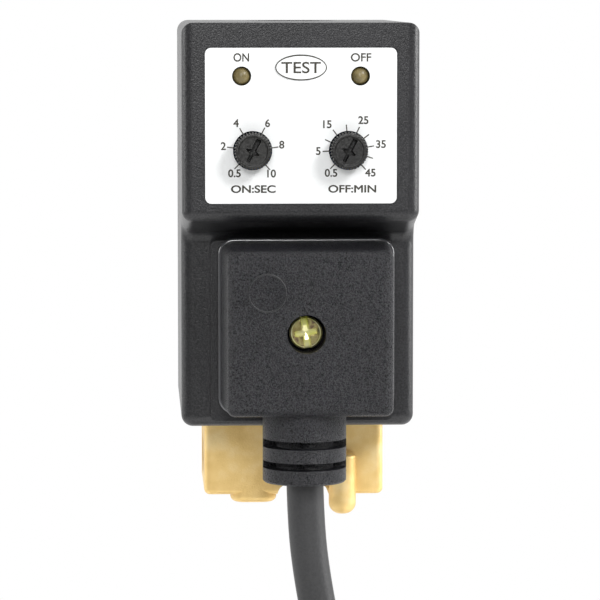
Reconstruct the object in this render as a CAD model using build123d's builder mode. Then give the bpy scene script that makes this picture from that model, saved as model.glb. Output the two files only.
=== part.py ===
from build123d import *
import math
import os

# Automatic drain valve for compressed air: a small brass solenoid valve with a
# timer housing over its coil, a square cable plug, and a mains cord.
# Millimetres. X runs from the inlet to the outlet, Z is up, and the panel faces -Y.
# The mouth of the inlet port is the origin.

os.makedirs("parts", exist_ok=True)

# valve body
body_length = 30.2
body_depth = 23.0
body_bottom = -6.5
body_top = 6.7
port_radius = 4.3  # drilled wall of a 1/8 NPT port
port_depth = 7.0
orifice_radius = 1.25
passage_radius = 1.2
seat_top = 1.9
chamber_floor = 0.3
chamber_radius = 5.0
flange_radius = 7.5
flange_thickness = 3.0

# armature
tube_radius = 5.0
tube_bore = 4.1
plunger_radius = 4.03
plunger_length = 24.0
lift = 1.5
core_bottom = 27.8
spring_radius = 1.9
spring_wire = 0.4
spring_turns = 7

# housing
tube_x = body_length / 2
base_z = body_top + 0.2
case_width = 38.2
case_height = 66.3
case_back = 19.0
lower_front = -26.2
pad_front = -27.0
pad_width = 29.9
upper_front = -37.0
ledge_height = 31.9
brow_height = 34.7
case_round = 2.0
wall = 2.2
cover_thickness = 2.0

# panel
label_width = 30.7
label_height = 24.9
label_level = 49.85
label_thickness = 0.25
lamp_x = 9.5
lamp_rise = 7.95
lamp_radius = 1.5
test_rise = 9.3
test_width = 8.1
test_height = 4.0
knob_radius = 3.02
knob_teeth = 36
knob_proud = 2.9
knob_places = {"on": (-7.75, -3.95), "off": (7.6, -3.95)}
knob_pointing = 63.0  # degrees above the +X direction, seen from the front
board_front = -27.0
board_thickness = 1.6

# cable plug
plug_size = 28.3
plug_x = 0.6  # the plug's screw and collar stand a little to the outlet side of the coil
plug_offset = 1.25  # and its square box a little further
plug_level = 16.95
plug_back = -28.0
plug_depth = 15.5
plug_wall = 2.0
gasket_thickness = 1.0
screw_recess = 3.1
collar_radius = 6.75
collar_y = -35.7
collar_bands = [3.3, 1.3, 2.2, 1.2, 2.4]

# cord
cord_radius = 3.0
hank_width = 54.0
hank_height = 108.0
hank_depth = 26.0
tie_width = 12.0
tie_thickness = 1.2
tail_length = 40.0
relief_length = 24.0


def level(height):
    """Horizontal plane through the tube axis, a height above the housing's underside."""
    return Plane(origin=(tube_x, 0, base_z + height), x_dir=(1, 0, 0), z_dir=(0, 0, 1))


def front(y, height=0.0, x=0.0):
    """Upright plane that faces the viewer of the panel."""
    return Plane(origin=(tube_x + x, y, base_z + height), x_dir=(1, 0, 0), z_dir=(0, -1, 0))


def side(x=0.0):
    """Upright plane that faces the outlet, with Y across and height up."""
    return Plane(origin=(tube_x + x, 0, base_z), x_dir=(0, 1, 0), z_dir=(1, 0, 0))


def across(z):
    """Horizontal plane through the tube axis at a height above the port axis."""
    return Plane(origin=(tube_x, 0, z), x_dir=(1, 0, 0), z_dir=(0, 0, 1))


def save(part, name):
    part.label = name
    export_step(part, "parts/" + name + ".step")


# ---------------------------------------------------------------- valve body
recess_floor = body_top - flange_thickness
groove_floor = recess_floor - 1.1
foot_width = 7.8
lug_radius = 2.3
lug_top = -0.1

with BuildPart() as valve_body:
    with BuildSketch(across(body_bottom)):
        RectangleRounded(body_length, body_depth, 1.2)
    extrude(amount=body_top - body_bottom)
    fillet(valve_body.faces().sort_by(Axis.Z)[0].edges(), 0.9)
    # shallow valley under the seat, between the inlet and outlet blocks
    with BuildSketch(Plane(origin=(tube_x, 0, body_bottom), x_dir=(1, 0, 0), z_dir=(0, -1, 0))):
        with Locations((1.6, 0)):
            SlotCenterToCenter(5.2, 3.4)
    extrude(amount=body_depth, both=True, mode=Mode.SUBTRACT)
    # rounded foot under the inlet side, flush with the front
    with BuildSketch(across(body_bottom + 2)):
        with Locations((-6.75, -body_depth / 2 + foot_width / 2)):
            RectangleRounded(foot_width, foot_width, 2.6)
    extrude(amount=-3.4)
    fillet(valve_body.faces().sort_by(Axis.Z)[0].edges(), 1.0)
    # slender lug with a domed end on the front of the outlet side
    with BuildSketch(across(lug_top)):
        with Locations((8.2, -body_depth / 2 - 0.3)):
            Circle(lug_radius)
    extrude(amount=-(lug_top - body_bottom + 3.2))
    fillet(valve_body.faces().sort_by(Axis.Z)[0].edges(), 1.9)
    # port blocks stand a little proud of the middle at the back
    with BuildSketch(across(body_top)):
        with Locations((0, body_depth / 2)):
            Rectangle(9.0, 2.4)
    extrude(amount=-(body_top - body_bottom), mode=Mode.SUBTRACT)
    # tube seat
    with BuildSketch(across(recess_floor)):
        Circle(flange_radius + 0.03)
    extrude(amount=flange_thickness, mode=Mode.SUBTRACT)
    with BuildSketch(across(groove_floor)):
        Circle(flange_radius + 0.03)
        Circle(chamber_radius + 0.7, mode=Mode.SUBTRACT)
    extrude(amount=recess_floor - groove_floor, mode=Mode.SUBTRACT)
    with BuildSketch(across(chamber_floor)):
        Circle(chamber_radius)
        Circle(2.2, mode=Mode.SUBTRACT)
    extrude(amount=recess_floor - chamber_floor, mode=Mode.SUBTRACT)
    with BuildSketch(across(seat_top)):
        Circle(2.3)
    extrude(amount=recess_floor - seat_top, mode=Mode.SUBTRACT)
    # orifice up through the seat
    with BuildSketch(across(-2.6)):
        Circle(orifice_radius)
    extrude(amount=seat_top + 2.6, mode=Mode.SUBTRACT)
    # ports
    with BuildSketch(Plane.YZ):
        Circle(port_radius)
    extrude(amount=port_depth, mode=Mode.SUBTRACT)
    with BuildSketch(Plane.YZ.offset(body_length)):
        Circle(port_radius)
    extrude(amount=-port_depth, mode=Mode.SUBTRACT)
    # inlet passage, low under the seat
    with BuildSketch(Plane.YZ.offset(port_depth - 0.5)):
        with Locations((0, -2.6)):
            Circle(passage_radius)
    extrude(amount=tube_x - port_depth + 0.5, mode=Mode.SUBTRACT)
    # outlet passage, out of the chamber beside the seat
    with BuildSketch(Plane.YZ.offset(tube_x + 3.5)):
        with Locations((0, 0.95)):
            Circle(passage_radius)
    extrude(amount=body_length - port_depth - tube_x - 3.3, mode=Mode.SUBTRACT)
save(valve_body.part, "valve_body")

with BuildPart() as tube_o_ring:
    with BuildSketch(Plane.XZ.offset(0)):
        with Locations((tube_x + 6.6, groove_floor + 0.55)):
            RegularPolygon(0.53, 8)
    revolve(axis=Axis((tube_x, 0, 0), (0, 0, 1)))
save(tube_o_ring.part, "tube_o_ring")

# ---------------------------------------------------------------- armature
core_top = core_bottom + 8.5
stud_top = base_z + 42.5

with BuildPart() as guide_tube:
    with BuildSketch(across(recess_floor)):
        Circle(flange_radius)
    extrude(amount=flange_thickness)
    with BuildSketch(across(body_top)):
        Circle(tube_radius)
    extrude(amount=core_top - body_top)
    with BuildSketch(across(recess_floor)):
        Circle(tube_bore)
    extrude(amount=core_top - recess_floor, mode=Mode.SUBTRACT)
    # two key slots for the tube spanner
    with BuildSketch(across(body_top)):
        with PolarLocations(flange_radius, 2, 45):
            Rectangle(2.2, 2.0)
    extrude(amount=-1.2, mode=Mode.SUBTRACT)
save(guide_tube.part, "guide_tube")

with BuildPart() as fixed_core:
    with BuildSketch(across(core_bottom)):
        Circle(tube_bore)
    extrude(amount=core_top - core_bottom)
    with BuildSketch(across(core_top)):
        Circle(3.0)
    extrude(amount=stud_top - core_top)
    chamfer(fixed_core.faces().sort_by(Axis.Z)[-1].edges(), 0.4)
    with BuildSketch(across(core_bottom)):
        Circle(3.5)
        Circle(2.7, mode=Mode.SUBTRACT)
    extrude(amount=1.2, mode=Mode.SUBTRACT)
save(fixed_core.part, "fixed_core")

with BuildPart() as shading_ring:
    with BuildSketch(across(core_bottom + 0.05)):
        Circle(3.5)
        Circle(2.7, mode=Mode.SUBTRACT)
    extrude(amount=1.15)
save(shading_ring.part, "shading_ring")

plunger_bottom = seat_top + 0.25
plunger_top = plunger_bottom + plunger_length
pocket_floor = plunger_top - 8.0

with BuildPart() as plunger:
    with BuildSketch(across(plunger_bottom)):
        Circle(plunger_radius)
    extrude(amount=plunger_length)
    chamfer(plunger.faces().sort_by(Axis.Z)[-1].edges(), 0.3)
    chamfer(plunger.faces().sort_by(Axis.Z)[0].edges(), 0.3)
    with BuildSketch(across(pocket_floor)):
        Circle(spring_radius + 0.35)
    extrude(amount=8.0, mode=Mode.SUBTRACT)
    with BuildSketch(across(plunger_bottom)):
        Circle(2.8)
    extrude(amount=1.5, mode=Mode.SUBTRACT)
    # flats that let the air past
    with BuildSketch(across(plunger_bottom)):
        with PolarLocations(plunger_radius + 0.35, 4):
            Rectangle(1.4, 3.0)
    extrude(amount=plunger_length, mode=Mode.SUBTRACT)
save(plunger.part, "plunger")

with BuildPart() as plunger_seal:
    with BuildSketch(across(plunger_bottom + 1.5)):
        Circle(2.8)
    extrude(amount=-1.7)
save(plunger_seal.part, "plunger_seal")

spring_bottom = pocket_floor + spring_wire / 2
spring_top = core_bottom - spring_wire / 2
with BuildPart() as plunger_spring:
    with BuildLine(across(spring_bottom)):
        coils = Helix(
            pitch=(spring_top - spring_bottom) / spring_turns,
            height=spring_top - spring_bottom,
            radius=spring_radius,
        )
    with BuildSketch(Plane(origin=coils @ 0, z_dir=coils % 0)):
        RegularPolygon(spring_wire / 2, 6)
    sweep()
save(plunger_spring.part, "plunger_spring")

# ---------------------------------------------------------------- coil
yoke_width = 23.0
yoke_plate = 2.0
yoke_bottom = wall
yoke_top = 36.0
yoke_back = 15.5
bobbin_flange = 12.8

with BuildPart() as coil_yoke:
    with BuildSketch(side()):
        with BuildLine():
            Polyline(
                (-12.5, yoke_bottom),
                (yoke_back, yoke_bottom),
                (yoke_back, yoke_top),
                (-12.5, yoke_top),
                (-12.5, yoke_top - yoke_plate),
                (yoke_back - yoke_plate, yoke_top - yoke_plate),
                (yoke_back - yoke_plate, yoke_bottom + yoke_plate),
                (-12.5, yoke_bottom + yoke_plate),
                close=True,
            )
        make_face()
    extrude(amount=yoke_width / 2, both=True)
    bends = coil_yoke.edges().filter_by(Axis.X).filter_by_position(Axis.Y, yoke_back - 0.01, yoke_back + 0.01)
    fillet(bends, 1.5)
    with BuildSketch(level(0)):
        Circle(tube_radius + 0.05)
    extrude(amount=yoke_top + 1, mode=Mode.SUBTRACT)
save(coil_yoke.part, "coil_yoke")

bobbin_low = yoke_bottom + yoke_plate
bobbin_high = yoke_top - yoke_plate
with BuildPart() as coil_bobbin:
    with BuildSketch(side()):
        with BuildLine():
            Polyline(
                (tube_radius + 0.1, bobbin_low),
                (bobbin_flange, bobbin_low),
                (bobbin_flange, bobbin_low + 1.4),
                (tube_radius + 1.2, bobbin_low + 1.4),
                (tube_radius + 1.2, bobbin_high - 1.4),
                (bobbin_flange, bobbin_high - 1.4),
                (bobbin_flange, bobbin_high),
                (tube_radius + 0.1, bobbin_high),
                close=True,
            )
        make_face()
    revolve(axis=Axis((tube_x, 0, 0), (0, 0, 1)))
save(coil_bobbin.part, "coil_bobbin")

with BuildPart() as coil_winding:
    with BuildSketch(level(bobbin_low + 1.4)):
        Circle(bobbin_flange - 0.8)
        Circle(tube_radius + 1.2, mode=Mode.SUBTRACT)
    extrude(amount=bobbin_high - bobbin_low - 2.8)
save(coil_winding.part, "coil_winding")

with BuildPart() as nut_washer:
    with BuildSketch(level(yoke_top)):
        Circle(5.8)
        Circle(3.1, mode=Mode.SUBTRACT)
    extrude(amount=0.5)
save(nut_washer.part, "nut_washer")

with BuildPart() as coil_nut:
    with BuildSketch(level(yoke_top + 0.5)):
        RegularPolygon(5.0, 6, major_radius=False)
        Circle(3.03, mode=Mode.SUBTRACT)
    extrude(amount=4.6)
    with BuildSketch(level(yoke_top + 0.5)) as nut_limit:
        Circle(5.55)
    extrude(amount=4.6, mode=Mode.INTERSECT)
save(coil_nut.part, "coil_nut")

# ---------------------------------------------------------------- housing
half_case = case_width / 2
inner_half = half_case - wall
well_radius = 7.6
post_places = [(-14.3, 38.6), (14.3, 38.6), (-14.3, 60.6), (14.3, 60.6)]
boss_places = [(-14.2, 4.6), (14.2, 4.6), (-14.2, 61.4), (14.2, 61.4)]
label_top = label_level + label_height / 2

with BuildPart() as housing:
    with BuildSketch(side()) as outline:
        with BuildLine():
            Polyline(
                (case_back, 0),
                (lower_front, 0),
                (lower_front, ledge_height),
                (upper_front, brow_height),
                (upper_front, case_height),
                (case_back, case_height),
                close=True,
            )
        make_face()
        corners = outline.vertices().sort_by(Axis.Y)[:-2]
        fillet(corners, case_round)
    extrude(amount=half_case, both=True)
    flanks = housing.faces().filter_by(Axis.X)
    rims = flanks.edges().filter_by_position(Axis.Y, upper_front - 1, case_back - 0.01)
    fillet(rims, case_round - 0.1)
    # raised pad that carries the cable plug
    with BuildSketch(front(lower_front + 1.0, plug_level - 1.0, plug_x)):
        RectangleRounded(pad_width, 29.6, 1.0)
    extrude(amount=1.0 + lower_front - pad_front)
    # hollow, open at the back
    with BuildSketch(side()) as hollow:
        with BuildLine():
            Polyline(
                (case_back + 1, wall),
                (lower_front + wall, wall),
                (lower_front + wall, ledge_height + 1.6),
                (upper_front + wall, brow_height + 1.9),
                (upper_front + wall, case_height - wall),
                (case_back + 1, case_height - wall),
                close=True,
            )
        make_face()
    extrude(amount=inner_half, both=True, mode=Mode.SUBTRACT)
    # well for the coil nut, open at the top
    with BuildSketch(level(yoke_top + 0.05)):
        Circle(well_radius + 1.3)
    extrude(amount=case_height - yoke_top - 1)
    with BuildSketch(level(yoke_top - 1)):
        Circle(well_radius)
    extrude(amount=case_height - yoke_top + 2, mode=Mode.SUBTRACT)
    # way in for the guide tube
    with BuildSketch(level(-1)):
        Circle(tube_radius + 0.25)
    extrude(amount=wall + 2, mode=Mode.SUBTRACT)
    # shallow bed for the panel label
    with BuildSketch(front(upper_front, label_level)):
        RectangleRounded(label_width + 0.3, label_height + 0.3, 1.1)
    extrude(amount=-label_thickness - 0.05, mode=Mode.SUBTRACT)
    # openings in the panel
    with BuildSketch(front(upper_front, label_level)):
        with Locations((-lamp_x, lamp_rise), (lamp_x, lamp_rise)):
            Circle(lamp_radius + 0.06)
        with Locations(*knob_places.values()):
            Circle(knob_radius + 0.22)
        with Locations((0, test_rise)):
            Ellipse(test_width / 2 + 0.15, test_height / 2 + 0.15)
    extrude(amount=-wall - 1, mode=Mode.SUBTRACT)
    # posts for the timer board
    with BuildSketch(front(board_front)):
        with Locations(*post_places):
            Circle(1.9)
            Circle(0.75, mode=Mode.SUBTRACT)
    extrude(amount=board_front - upper_front - wall)
    # bosses for the back cover screws
    with BuildSketch(front(case_back - cover_thickness)):
        with Locations(*boss_places):
            Circle(2.3)
    extrude(amount=8.0)
    with BuildSketch(front(case_back - cover_thickness)):
        with Locations(*boss_places):
            Circle(1.0)
    extrude(amount=7.0, mode=Mode.SUBTRACT)
    # webs that tie the bosses to the side walls
    with BuildSketch(front(case_back - cover_thickness)):
        for x, height in boss_places:
            with Locations((math.copysign(inner_half - 0.4, x), height)):
                Rectangle(1.6, 1.4)
    extrude(amount=8.0)
    # seat for the threaded insert of the plug screw, and slots for the three contacts
    with BuildSketch(front(lower_front + wall, plug_level, plug_x)):
        Circle(3.6)
    extrude(amount=-3.0)
    with BuildSketch(front(pad_front, plug_level, plug_x)):
        Circle(2.15)
    extrude(amount=-6.4, mode=Mode.SUBTRACT)
    with BuildSketch(front(pad_front, plug_level, plug_x)):
        with Locations((-9.0, 0), (9.0, 0)):
            Rectangle(0.9, 6.4)
        with Locations((0, -9.0)):
            Rectangle(6.4, 0.9)
    extrude(amount=-5, mode=Mode.SUBTRACT)
save(housing.part, "housing")

with BuildPart() as rear_cover:
    with BuildSketch(front(case_back, case_height / 2)):
        Rectangle(2 * inner_half - 0.1, case_height - 2 * wall - 0.1)
        for x, height in boss_places:
            with Locations((x, height - case_height / 2)):
                Circle(1.25, mode=Mode.SUBTRACT)
    extrude(amount=cover_thickness)
    with BuildSketch(front(case_back, case_height / 2)):
        for x, height in boss_places:
            with Locations((x, height - case_height / 2)):
                Circle(2.3)
    extrude(amount=1.0, mode=Mode.SUBTRACT)
save(rear_cover.part, "rear_cover")

with BuildPart() as rear_cover_screws:
    with BuildSketch(front(case_back - 1.0)):
        with Locations(*boss_places):
            Circle(1.0)
    extrude(amount=7.0)
    with BuildSketch(front(case_back - 1.0)):
        with Locations(*boss_places):
            Circle(2.1)
    extrude(amount=-0.9)
    with BuildSketch(front(case_back)):
        with Locations(*boss_places):
            Rectangle(2.4, 0.5)
            Rectangle(0.5, 2.4)
    extrude(amount=0.6, mode=Mode.SUBTRACT)
save(rear_cover_screws.part, "rear_cover_screws")

# ---------------------------------------------------------------- panel
with BuildPart() as panel_label:
    with BuildSketch(front(upper_front + label_thickness, label_level)):
        RectangleRounded(label_width, label_height, 1.0)
        with Locations((-lamp_x, lamp_rise), (lamp_x, lamp_rise)):
            Circle(lamp_radius + 0.03, mode=Mode.SUBTRACT)
        with Locations(*knob_places.values()):
            Circle(knob_radius + 0.12, mode=Mode.SUBTRACT)
        with Locations((0, test_rise)):
            Ellipse(test_width / 2 + 0.08, test_height / 2 + 0.08, mode=Mode.SUBTRACT)
    extrude(amount=label_thickness)
save(panel_label.part, "panel_label")

for lamp, x in (("lamp_on", -lamp_x), ("lamp_off", lamp_x)):
    with BuildPart() as led:
        with BuildSketch(Plane(
            origin=(tube_x + x, 0, base_z + label_level + lamp_rise),
            x_dir=(0, -1, 0),
            z_dir=(1, 0, 0),
        )):
            # half profile of the lamp, turned about its own axis
            with BuildLine():
                dome = CenterArc((-upper_front - 1.3, 0), lamp_radius, 0, 90)
                Polyline(
                    dome @ 1,
                    (-upper_front - 4.4, lamp_radius),
                    (-upper_front - 4.4, 1.9),
                    (-upper_front - 5.4, 1.9),
                    (-upper_front - 5.4, 0),
                    dome @ 0,
                )
            make_face()
        revolve(axis=Axis((tube_x + x, 0, base_z + label_level + lamp_rise), (0, 1, 0)))
        with BuildSketch(front(upper_front + 5.4, label_level + lamp_rise, x)):
            with Locations((-1.27, 0), (1.27, 0)):
                Rectangle(0.5, 0.5)
        extrude(amount=-(board_front - upper_front - 5.4) - 2.2)
    save(led.part, lamp)

shaft_end = board_front - 2.0
for name, (x, rise) in knob_places.items():
    knob_level = label_level + rise
    with BuildPart() as knob:
        with BuildSketch(front(upper_front + 1.0, knob_level, x)):
            Circle(knob_radius)
            with PolarLocations(knob_radius + 0.05, knob_teeth):
                Rectangle(0.4, 0.24, mode=Mode.SUBTRACT)
        extrude(amount=1.0 + knob_proud)
        # smooth rim inside the teeth and a dished face
        with BuildSketch(front(upper_front - knob_proud, knob_level, x)):
            Circle(2.3)
        extrude(amount=-0.2, mode=Mode.SUBTRACT)
        # arrow slot: long bar, narrow tail and two short arms
        with BuildSketch(front(upper_front - knob_proud, knob_level, x)):
            with Locations(Location((0, 0, 0), (0, 0, knob_pointing))):
                with Locations((0.75, 0)):
                    Rectangle(2.7, 0.75)
                with Locations((-1.1, 0)):
                    Rectangle(1.5, 0.5)
                Rectangle(0.65, 2.9)
        extrude(amount=-1.1, mode=Mode.SUBTRACT)
        with BuildSketch(front(upper_front + 1.0, knob_level, x)):
            Circle(1.5)
        extrude(amount=upper_front + 1.0 - shaft_end)
    save(knob.part, "knob_" + name)
    with BuildPart() as trimmer:
        with BuildSketch(front(board_front, knob_level, x)):
            RectangleRounded(6.8, 6.8, 0.6)
        extrude(amount=5.5)
        with BuildSketch(front(board_front - 5.5, knob_level, x)):
            Circle(2.6)
        extrude(amount=0.8)
        with BuildSketch(front(board_front - 1.9, knob_level, x)):
            Circle(1.56)
        extrude(amount=5, mode=Mode.SUBTRACT)
        with BuildSketch(front(board_front, knob_level, x)):
            with Locations((-2.5, -2.4), (2.5, -2.4), (0, 2.5)):
                Circle(0.3)
        extrude(amount=-2.2)
    save(trimmer.part, "trimmer_" + name)

switch_face = board_front - 4.4
with BuildPart() as test_button:
    with BuildSketch(front(upper_front + wall + 0.1, label_level + test_rise)):
        Ellipse(test_width / 2, test_height / 2)
    extrude(amount=wall + 0.25)
    with BuildSketch(front(upper_front + wall + 0.1, label_level + test_rise)):
        Ellipse(test_width / 2 + 0.8, test_height / 2 + 0.8)
    extrude(amount=-0.7)
    with BuildSketch(front(upper_front + wall + 0.8, label_level + test_rise)):
        Circle(1.3)
    extrude(amount=upper_front + wall + 0.8 - switch_face + 0.45)
save(test_button.part, "test_button")

with BuildPart() as test_switch:
    with BuildSketch(front(board_front, label_level + test_rise)):
        RectangleRounded(5.6, 5.6, 0.4)
    extrude(amount=3.4)
    with BuildSketch(front(board_front - 3.4, label_level + test_rise)):
        Circle(1.7)
    extrude(amount=board_front - 3.4 - switch_face)
    with BuildSketch(front(board_front, label_level + test_rise)):
        with Locations((-2.2, -2.2), (2.2, -2.2), (-2.2, 2.2), (2.2, 2.2)):
            Rectangle(0.6, 0.4)
    extrude(amount=-2.2)
save(test_switch.part, "test_switch")

# ---------------------------------------------------------------- timer board
board_bottom = 36.8
board_top = 62.6
board_mid = (board_bottom + board_top) / 2
board_back = board_front + board_thickness

with BuildPart() as timer_board:
    with BuildSketch(front(board_back, board_mid)):
        Rectangle(33.4, board_top - board_bottom)
        for x, height in post_places:
            with Locations((x, height - board_mid)):
                Circle(1.1, mode=Mode.SUBTRACT)
        for x in (-lamp_x, lamp_x):
            with Locations((x - 1.27, label_level + lamp_rise - board_mid), (x + 1.27, label_level + lamp_rise - board_mid)):
                Circle(0.45, mode=Mode.SUBTRACT)
        for x, rise in knob_places.values():
            with Locations((x, label_level + rise - board_mid)):
                with Locations((-2.5, -2.4), (2.5, -2.4), (0, 2.5)):
                    Circle(0.4, mode=Mode.SUBTRACT)
        with Locations((0, label_level + test_rise - board_mid)):
            with GridLocations(4.4, 4.4, 2, 2):
                Circle(0.45, mode=Mode.SUBTRACT)
    extrude(amount=board_thickness)
save(timer_board.part, "timer_board")

with BuildPart() as board_screws:
    with BuildSketch(front(board_back)):
        with Locations(*post_places):
            Circle(0.72)
    extrude(amount=5.0)
    with BuildSketch(front(board_back)):
        with Locations(*post_places):
            Circle(1.5)
    extrude(amount=-1.1)
save(board_screws.part, "board_screws")

with BuildPart() as film_capacitor:
    with BuildSketch(front(board_back, 40.2, -6.2)):
        Rectangle(12.0, 5.0)
    extrude(amount=-9.5)
    fillet(film_capacitor.edges().filter_by(Axis.Y), 0.6)
save(film_capacitor.part, "film_capacitor")

with BuildPart() as storage_capacitor:
    with BuildSketch(front(board_back, 55.0, -11.6)):
        Circle(2.6)
    extrude(amount=-9.0)
    chamfer(storage_capacitor.faces().sort_by(Axis.Y)[-1].edges(), 0.4)
save(storage_capacitor.part, "storage_capacitor")

with BuildPart() as surge_disc:
    with BuildSketch(side(11.5)):
        with Locations((board_back + 4.6, 43.0)):
            Circle(3.6)
    extrude(amount=1.5, both=True)
    chamfer(surge_disc.edges().filter_by(GeomType.CIRCLE), 0.7)
    with BuildSketch(front(board_back, 43.0, 11.5)):
        with Locations((0, -1.9), (0, 1.9)):
            Circle(0.3)
    extrude(amount=-2.6)
save(surge_disc.part, "surge_disc")

with BuildPart() as triac:
    with BuildSketch(front(board_back, 51.0, 2.5)):
        Rectangle(8.0, 4.6)
    extrude(amount=-4.0)
    with BuildSketch(front(board_back, 54.4, 2.5)):
        Rectangle(6.6, 2.4)
        Circle(0.8, mode=Mode.SUBTRACT)
    extrude(amount=-1.2)
save(triac.part, "triac")

# ---------------------------------------------------------------- plug contacts
with BuildPart() as contact_blades:
    with BuildSketch(front(lower_front + wall + 1.5, plug_level, plug_x)):
        with Locations((-9.0, 0), (9.0, 0)):
            Rectangle(0.8, 6.3)
        with Locations((0, -9.0)):
            Rectangle(6.3, 0.8)
    extrude(amount=wall + 1.5 + 9.2)
    chamfer(contact_blades.faces().sort_by(Axis.Y)[0:3].edges().filter_by(Axis.Y, reverse=True).group_by(SortBy.LENGTH)[-1], 0.2)
save(contact_blades.part, "contact_blades")

with BuildPart() as screw_insert:
    with BuildSketch(front(pad_front, plug_level, plug_x)):
        Circle(2.12)
        Circle(1.55, mode=Mode.SUBTRACT)
    extrude(amount=-5.5)
save(screw_insert.part, "screw_insert")

with BuildPart() as plug_gasket:
    with BuildSketch(front(pad_front, plug_level, plug_offset)):
        RectangleRounded(27.2, 27.2, 2.0)
        RectangleRounded(22.4, 22.4, 1.2, mode=Mode.SUBTRACT)
    extrude(amount=gasket_thickness)
save(plug_gasket.part, "plug_gasket")

# ---------------------------------------------------------------- cable plug
plug_bottom = plug_level - plug_size / 2
face_y = plug_back - plug_depth
collar_length = sum(collar_bands)
collar_bottom = plug_bottom - collar_length

with BuildPart() as cable_plug:
    with BuildSketch(front(plug_back, plug_level, plug_offset)):
        RectangleRounded(plug_size - 0.4, plug_size - 0.4, 2.0)
    extrude(amount=plug_depth, taper=2.6)
    fillet(cable_plug.faces().sort_by(Axis.Y)[0].edges(), 1.4)
    # thin parting lip round the open edge
    with BuildSketch(front(plug_back, plug_level, plug_offset)):
        RectangleRounded(plug_size, plug_size, 2.2)
    extrude(amount=1.2)
    # grooved collar round the cord
    with BuildSketch(level(plug_bottom + 3.0)):
        with Locations((plug_x, collar_y)):
            Circle(collar_radius)
    extrude(amount=-3.0 - collar_length)
    chamfer(cable_plug.faces().sort_by(Axis.Z)[0].edges(), 0.3)
    groove_top = plug_bottom - collar_bands[0]
    for depth in (collar_bands[1], collar_bands[3]):
        with BuildSketch(level(groove_top)):
            with Locations((plug_x, collar_y)):
                Circle(collar_radius + 0.5)
                Circle(4.7, mode=Mode.SUBTRACT)
                with PolarLocations(collar_radius - 1.0, 2):
                    Rectangle(4.5, 1.5, mode=Mode.SUBTRACT)
        extrude(amount=-depth, mode=Mode.SUBTRACT)
        groove_top -= collar_bands[1] + collar_bands[2]
    # hollow behind the face
    with BuildSketch(front(plug_back, plug_level, plug_offset)):
        RectangleRounded(plug_size - 2 * plug_wall - 0.6, plug_size - 2 * plug_wall - 0.6, 1.2)
    extrude(amount=plug_depth - 2.4, mode=Mode.SUBTRACT)
    # pillar for the centre screw, with the sunk seat for its head
    with BuildSketch(front(plug_back, plug_level, plug_x)):
        Circle(4.2)
    extrude(amount=plug_depth - 2.0)
    with BuildSketch(front(face_y, plug_level, plug_x)):
        Circle(screw_recess)
    extrude(amount=-5.0, mode=Mode.SUBTRACT)
    with BuildSketch(front(face_y, plug_level, plug_x)):
        Circle(1.65)
    extrude(amount=-plug_depth, mode=Mode.SUBTRACT)
    # cord way up through the collar
    with BuildSketch(level(collar_bottom)):
        with Locations((plug_x, collar_y)):
            Circle(cord_radius + 0.08)
    extrude(amount=collar_length + 3.5, mode=Mode.SUBTRACT)
    # raised plain ring on the face
    with BuildSketch(front(face_y + 0.05, plug_level, plug_x)):
        with Locations((-6.3, 6.6)):
            Circle(3.1)
            Circle(2.85, mode=Mode.SUBTRACT)
    extrude(amount=0.13)
save(cable_plug.part, "cable_plug")

with BuildPart() as plug_screw:
    with BuildSketch(front(face_y + 5.0, plug_level, plug_x)):
        Circle(2.65)
    extrude(amount=2.1)
    fillet(plug_screw.faces().sort_by(Axis.Y)[0].edges(), 0.6)
    with BuildSketch(front(face_y + 2.9, plug_level, plug_x)):
        with Locations(Location((0, 0, 0), (0, 0, 99))):
            Rectangle(5.6, 0.7)
            Rectangle(0.75, 3.4)
    extrude(amount=-1.0, mode=Mode.SUBTRACT)
    with BuildSketch(front(face_y + 5.0, plug_level, plug_x)):
        Circle(1.48)
    extrude(amount=face_y + 5.0 - pad_front - 5.0)
save(plug_screw.part, "plug_screw")

with BuildPart() as contact_carrier:
    with BuildSketch(front(plug_back - 1.0, plug_level, plug_x)):
        Rectangle(22.0, 22.0)
        Circle(4.4, mode=Mode.SUBTRACT)
        with Locations((-9.0, 0), (9.0, 0)):
            Rectangle(1.9, 7.2, mode=Mode.SUBTRACT)
        with Locations((0, -9.0)):
            Rectangle(7.2, 1.9, mode=Mode.SUBTRACT)
        with Locations((0, 9.0)):
            Rectangle(8.0, 3.0, mode=Mode.SUBTRACT)
    extrude(amount=10.0)
save(contact_carrier.part, "contact_carrier")

with BuildPart() as contact_clips:
    with BuildSketch(front(plug_back - 1.2, plug_level, plug_x)):
        for x in (-9.0, 9.0):
            with Locations((x - 0.66, 0), (x + 0.66, 0)):
                Rectangle(0.45, 6.6)
        with Locations((0, -9.66), (0, -8.34)):
            Rectangle(6.6, 0.45)
    extrude(amount=9.3)
    with BuildSketch(front(plug_back - 10.4, plug_level, plug_x)):
        with Locations((-9.0, 0), (9.0, 0)):
            Rectangle(1.77, 6.6)
        with Locations((0, -9.0)):
            Rectangle(6.6, 1.77)
    extrude(amount=0.5)
save(contact_clips.part, "contact_clips")

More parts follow.
